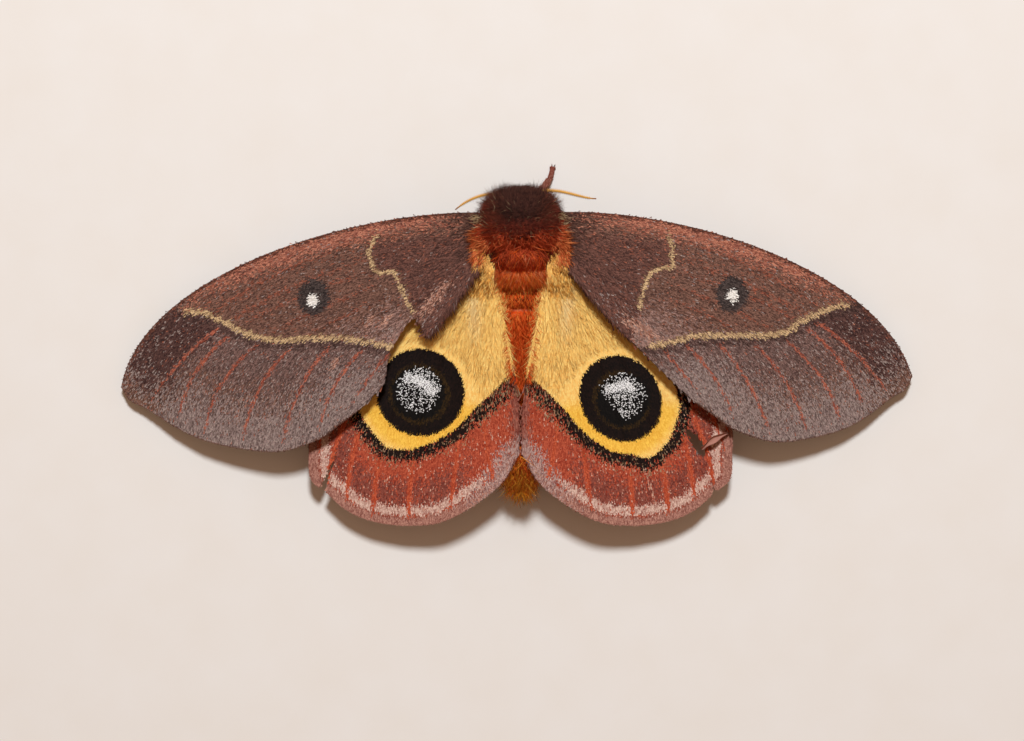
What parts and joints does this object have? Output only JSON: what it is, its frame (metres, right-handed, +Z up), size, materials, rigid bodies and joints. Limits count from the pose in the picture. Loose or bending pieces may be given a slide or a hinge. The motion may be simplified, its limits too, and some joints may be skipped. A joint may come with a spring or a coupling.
{
  "type": "automeris granulosa moth",
  "caption": "Life-size still model of a large female moth resting flat with its wings spread, eyespots shown on the hindwings.",
  "frame": {"origin": "on the floor, at the middle of the moth's box", "axes": "+Y towards the head, +X towards the moth's right forewing, +Z up"},
  "size_m": [0.12, 0.0548, 0.0124],
  "materials": {
    "dark_fur": "dense soft dark brown hair",
    "orange_fur": "dense soft orange-red hair",
    "forewing_scales": "matt powdery wing scales, brown with lilac-grey and red streaks",
    "hindwing_scales": "matt powdery wing scales, yellow with a black eyespot and red and pink bands",
    "compound_eye": "glossy dark faceted cornea",
    "antenna": "golden-orange cuticle with fine teeth",
    "leg_fur": "short flat reddish-brown hair"
  },
  "bodies": {
    "root": {"head": "dark_fur", "thorax": "dark_fur", "abdomen": "orange_fur", "forewing_left": "forewing_scales", "forewing_right": "forewing_scales", "hindwing_left": "hindwing_scales", "hindwing_right": "hindwing_scales", "eye_left": "compound_eye", "eye_right": "compound_eye", "palp_left": "dark_fur", "palp_right": "dark_fur", "antenna_left": "antenna", "antenna_right": "antenna", "leg_front_left": "leg_fur", "leg_front_right": "leg_fur", "leg_middle_left": "leg_fur", "leg_middle_right": "leg_fur", "leg_hind_left": "leg_fur", "leg_hind_right": "leg_fur"}
  },
  "joints": []
}
